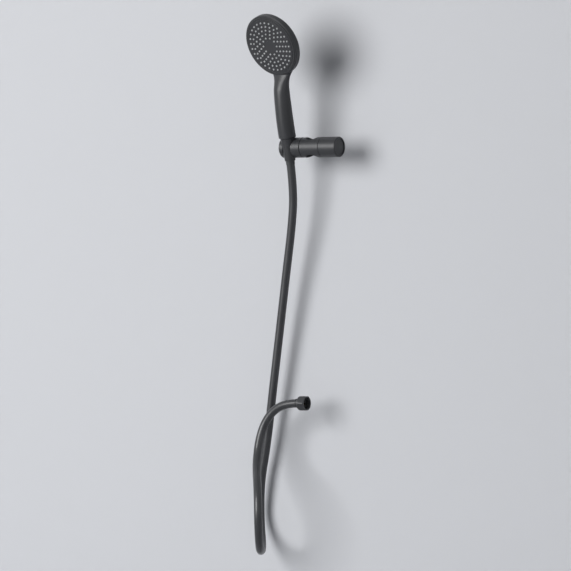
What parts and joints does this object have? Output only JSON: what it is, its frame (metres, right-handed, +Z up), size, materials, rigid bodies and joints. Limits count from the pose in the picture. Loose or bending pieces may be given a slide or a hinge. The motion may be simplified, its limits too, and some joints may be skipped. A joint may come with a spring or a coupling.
{
  "type": "hand shower",
  "caption": "Matte black hand shower with a round spray head, resting in a tilting slider holder with a clamp knob, on a smooth hose that ends in a union nut.",
  "frame": {"origin": "where the axis of the riser rail meets the axis of the slider", "axes": "+Z up along the rail, +X along the slider towards the knob, -Y out of the wall, the way the spray goes"},
  "size_m": [0.1967, 0.1335, 0.9013],
  "materials": {
    "black_abs": "fine matte black",
    "black_metal": "matte black coat",
    "hose_pvc": "satin black",
    "nozzle_silicone": "soft grey",
    "seal_rubber": "matte",
    "white_pom": "matte",
    "steel": "bright",
    "brass": "turned"
  },
  "bodies": {
    "slider": {"slider_body": "black_abs", "friction_washer": "white_pom", "pivot_screw": "steel", "wave_washer": "steel", "hose_tube": "hose_pvc", "hose_lower_ferrule": "black_metal", "hose_lower_insert": "brass", "union_washer": "seal_rubber"},
    "holder": {"holder_cup": "black_abs", "handset_shell": "black_abs", "inlet_tail": "black_abs", "tail_o_ring": "seal_rubber", "flow_regulator": "white_pom", "check_valve": "white_pom", "plate_gasket": "seal_rubber", "spray_plate": "white_pom", "nozzle_mat": "nozzle_silicone", "spray_face": "black_abs", "face_ring": "black_abs", "face_screw": "steel", "centre_cap": "black_abs", "conical_nut": "black_abs", "filter_washer": "seal_rubber", "hose_upper_insert": "brass", "hose_upper_ferrule": "black_metal"},
    "clamp_pad": {"clamp_pad": "seal_rubber"},
    "lock_knob": {"clamp_screw": "brass", "lock_knob": "black_abs", "knob_cap": "black_abs"},
    "union_nut": {"union_nut": "black_metal"}
  },
  "joints": [
    {"name": "holder_tilt", "type": "hinge", "parent": "slider", "child": "holder", "pos_m": [0, 0, 0], "axis": [1, 0, 0], "range_deg": [-7, 33], "deforming": ["hose_tube"]},
    {"name": "pad_slide", "type": "slide", "parent": "slider", "child": "clamp_pad", "axis": [1, 0, 0], "range_m": [0, 0.00095]},
    {"name": "knob_turn", "type": "hinge", "parent": "clamp_pad", "child": "lock_knob", "pos_m": [0.036, 0, 0], "axis": [1, 0, 0], "range_deg": [0, 270]},
    {"name": "nut_spin", "type": "hinge", "parent": "slider", "child": "union_nut", "pos_m": [-0.02, 0, -0.4265], "axis": [1, 0, 0], "continuous": true}
  ],
  "couplings": [
    {"joint": "pad_slide", "follows": "knob_turn", "m_per_rad": 0.00019894}
  ]
}
